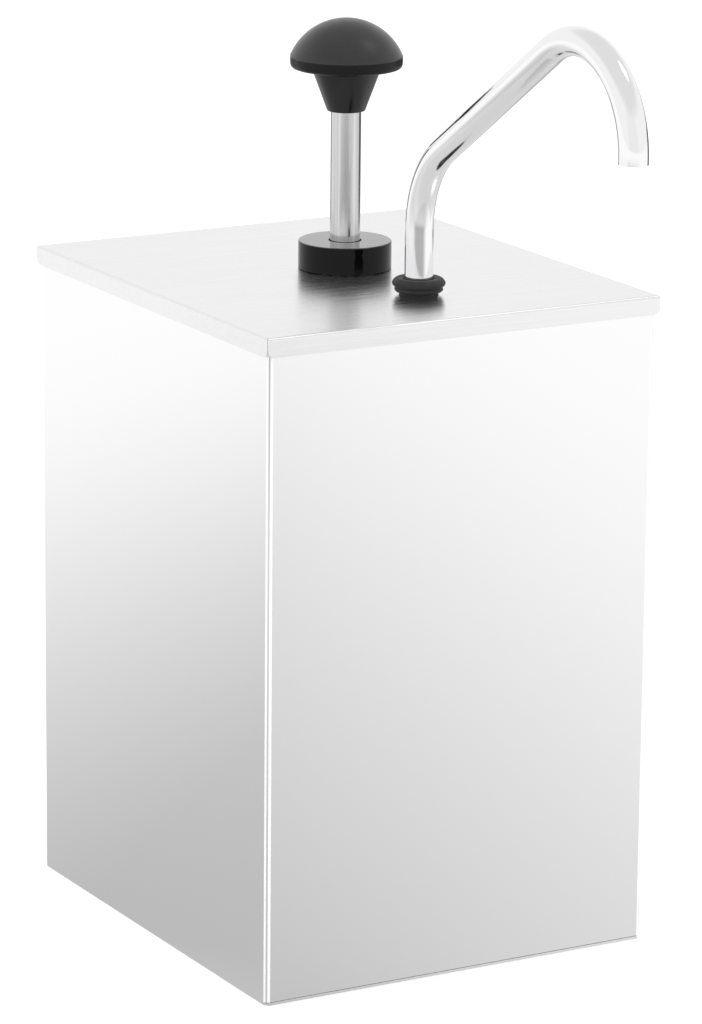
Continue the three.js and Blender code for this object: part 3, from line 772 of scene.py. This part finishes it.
# ---------- spout ----------
def spout_line():
    """Riser, bend, incline, top bend and a short drop, as points about 1.5 mm apart."""
    rise, reach, bottom, corner, tip = math.radians(32.9), 160.2, 236.0, TOP + 50.6, TOP + 80.5
    low_r, top_r = 42.0, 38.9
    low_turn, top_turn = math.pi / 2 - rise, math.pi / 2 + rise
    low_tangent, top_tangent = low_r * math.tan(low_turn / 2), top_r * math.tan(top_turn / 2)
    meet = corner + reach * math.tan(rise)
    stretches = [  # (length, bend radius), with no radius where the tube is straight
        (corner - low_tangent - bottom, 0), (low_r * low_turn, low_r),
        (reach / math.cos(rise) - low_tangent - top_tangent, 0), (top_r * top_turn, top_r),
        (meet - top_tangent - tip, 0)]
    y, z, heading = 0.0, bottom, 0.0
    points = [Vector((0, y, z))]
    for length, radius in stretches:
        count = max(1, round(length / 1.5))
        run = length / count
        for _ in range(count):
            if radius:
                after = heading + run / radius
                y -= radius * (math.cos(heading) - math.cos(after))
                z += radius * (math.sin(after) - math.sin(heading))
                heading = after
            else:
                y -= run * math.sin(heading)
                z += run * math.cos(heading)
            points.append(Vector((0, y, z)))
    return points


spout_tube = sweep(spout_line(), SPOUT_WALL, SPOUT_BORE, 64)
finish_mesh("spout_tube", spout_tube, "spout", chrome, RISER, sharp=50)


# ---------- stage and light ----------
AWAY = Vector((-0.491, -0.871, 0))  # the side of the studio with no lights, towards the front left
BACK_LEFT = Vector((-0.49, 0.87, 0))
RIGHT_SIDE = Vector((0.927, 0.375, 0))
FLOOR_RISE = Vector((0.74, 0.5555, 0))  # the mirrored floor's gain in strength per metre
FLOOR_BASE, FLOOR_MOST = 0.69, 1.06
SKY, SKY_UNLIT, SKY_HIGH = 0.97, 0.9, 0.8
WHITE = (1, 1, 1, 1)


class Sums:
    """Writes arithmetic as nodes: numbers and sockets go in, a socket comes out."""

    def __init__(self, tree):
        self.tree = tree

    def node(self, kind, operation, *values):
        node = self.tree.nodes.new(kind)
        node.operation = operation
        for socket, value in zip(node.inputs, values):
            if isinstance(value, bpy.types.NodeSocket):
                self.tree.links.new(value, socket)
            else:
                socket.default_value = value
        return node

    def math(self, operation, *values):
        return self.node("ShaderNodeMath", operation, *values).outputs["Value"]

    def dot(self, vector, direction):
        return self.node("ShaderNodeVectorMath", "DOT_PRODUCT", vector, direction).outputs["Value"]

    def length(self, vector):
        return self.node("ShaderNodeVectorMath", "LENGTH", vector).outputs["Value"]

    def ramp(self, value, start, end, low, high):
        node = self.tree.nodes.new("ShaderNodeMapRange")
        node.interpolation_type = "SMOOTHSTEP"
        for socket, number in (("From Min", start), ("From Max", end)):
            node.inputs[socket].default_value = number
        for socket, number in (("To Min", low), ("To Max", high)):
            if isinstance(number, bpy.types.NodeSocket):
                self.tree.links.new(number, node.inputs[socket])
            else:
                node.inputs[socket].default_value = number
        self.tree.links.new(value, node.inputs["Value"])
        return node.outputs["Result"]


def flat_piece(name, bm, material):
    obj = mesh_object(name, bm)
    obj.data.materials.append(material)
    return obj


def disc(radius):
    bm = bmesh.new()
    bmesh.ops.create_circle(bm, cap_ends=True, segments=96, radius=radius)
    return bm


def square():
    bm = bmesh.new()
    bmesh.ops.create_grid(bm, x_segments=1, y_segments=1, size=0.5)
    return bm


def floor():
    """White paper floor that carries the contact shadow; its faint glow keeps the far paper white."""
    paper = Looks("floor_paper", (0.99, 0.99, 0.99), 0, 0.9, Specular_IOR_Level=0, Emission_Color=WHITE,
                  Emission_Strength=0.15)
    obj = flat_piece("floor", disc(9), paper.material)
    obj.location.z = -0.0002
    obj.visible_glossy = False


def floor_light():
    """The floor as polished metal mirrors it: dimmer near the object, and dimmer again in three sectors."""
    material = bpy.data.materials.new("floor_light")
    material.use_nodes = True
    tree = material.node_tree
    tree.nodes.clear()
    output, glow = tree.nodes.new("ShaderNodeOutputMaterial"), tree.nodes.new("ShaderNodeEmission")
    tree.links.new(glow.outputs["Emission"], output.inputs["Surface"])
    place = tree.nodes.new("ShaderNodeTexCoord").outputs["Object"]
    sums = Sums(tree)
    radius = sums.math("MAXIMUM", sums.length(place), 0.05)

    def sector(direction):
        """1 straight towards the direction, 0 square to it."""
        return sums.math("DIVIDE", sums.dot(place, direction), radius)

    # Strength rises with distance, most towards the back right, and falls a little towards the back left.
    slope = sums.math("ADD", sums.math("MULTIPLY", radius, 0.457), sums.dot(place, FLOOR_RISE))
    base = sums.math("MULTIPLY_ADD", sector(BACK_LEFT), -0.09, FLOOR_BASE - 0.09)
    least = sums.math("MULTIPLY_ADD", radius, 0.3, 0.5)
    rising = sums.math("MAXIMUM", sums.math("ADD", slope, base), least)
    level = sums.math("SMOOTH_MIN", rising, FLOOR_MOST, 0.3)

    # The unlit side is a band that starts and ends at a distance; the other two sectors reach all the way.
    starts, ends = sums.ramp(radius, 0.75, 1.4, 0.0, 1.0), sums.ramp(radius, 1.95, 2.15, 1.0, 0.0)
    band = sums.math("MULTIPLY", starts, ends)
    unlit = sums.math("MULTIPLY", sums.ramp(sector(AWAY), 0.62, 0.93, 0.0, 1.0), band)
    level = sums.math("MULTIPLY", level, sums.math("MULTIPLY_ADD", unlit, -0.5, 1.0))
    level = sums.math("MULTIPLY", level, sums.ramp(sector(RIGHT_SIDE), 0.86, 0.995, 1.0, 0.72))
    level = sums.math("MULTIPLY", level, sums.ramp(sector(-AWAY), 0.66, 0.9, 1.0, 0.6))
    tree.links.new(level, glow.inputs["Strength"])
    obj = flat_piece("floor_light", disc(8), material)
    obj.location.z = -0.0004
    obj.visible_camera = obj.visible_diffuse = obj.visible_shadow = obj.visible_transmission = False


def card(name, azimuth, distance, width, low, high, shade):
    """A dark screen standing beside the set, out of the camera's sight, which the round metal mirrors."""
    obj = flat_piece(name, square(), Looks(name, (shade, shade, shade), 0, 1).material)
    angle = math.radians(azimuth)
    obj.scale = (width, high - low, 1)
    obj.rotation_euler = (math.pi / 2, 0, -angle)
    obj.location = (distance * math.sin(angle), distance * math.cos(angle), (low + high) / 2)
    obj.visible_camera = obj.visible_diffuse = obj.visible_shadow = False


def softbox(name, azimuth, elevation, distance, size, strength):
    """A lit square panel above the set, aimed at the middle of the pump, which only shiny surfaces see."""
    aim = Vector((0, 0, 0.35))
    lit = Looks(name, (0, 0, 0), 0, 0.5, Emission_Color=WHITE, Emission_Strength=strength)
    obj = flat_piece(name, square(), lit.material)
    angle, rise = math.radians(azimuth), math.radians(elevation)
    toward = Vector((math.sin(angle) * math.cos(rise), math.cos(angle) * math.cos(rise), math.sin(rise)))
    obj.scale = (size, size, 1)
    obj.location = toward * distance + aim
    obj.rotation_mode = "QUATERNION"
    obj.rotation_quaternion = toward.to_track_quat("Z", "Y")
    obj.visible_camera = obj.visible_diffuse = obj.visible_shadow = False


def area(name, place, aim, size, watts):
    """A round soft light that shiny surfaces don't mirror."""
    data = bpy.data.lights.new(name, "AREA")
    data.shape, data.size, data.energy = "DISK", size, watts
    obj = bpy.data.objects.new(name, data)
    obj.location = place
    obj.rotation_mode = "QUATERNION"
    obj.rotation_quaternion = (Vector(aim) - Vector(place)).to_track_quat("-Z", "Y")
    obj.visible_glossy = False
    bpy.context.scene.collection.objects.link(obj)


def studio():
    """White all round, a little dimmer on the unlit side and dimmer still overhead."""
    world = bpy.data.worlds.new("studio")
    world.use_nodes = True
    tree = world.node_tree
    sums = Sums(tree)
    toward = tree.nodes.new("ShaderNodeTexCoord").outputs["Generated"]
    lit = sums.ramp(sums.dot(toward, AWAY), 0.68, 0.93, SKY, SKY_UNLIT)
    high = sums.ramp(sums.dot(toward, (0, 0, 1)), 0.4, 0.7, 0.0, SKY_HIGH - SKY)
    background = tree.nodes["Background"]
    background.inputs["Color"].default_value = WHITE
    tree.links.new(sums.math("ADD", lit, high), background.inputs["Strength"])
    bpy.context.scene.world = world


floor()
floor_light()
card("card_left", azimuth=-9, distance=1.2, width=0.24, low=0, high=0.36, shade=0.06)
card("card_right", azimuth=70, distance=1.2, width=0.95, low=0.06, high=0.36, shade=0.1)
area("key", place=(-0.15, 0, 2.6), aim=(0, 0, 0.3), size=2.2, watts=38)
softbox("softbox", azimuth=118, elevation=57, distance=1.6, size=0.4, strength=2.6)
studio()
bpy.context.scene.view_settings.view_transform = "Standard"
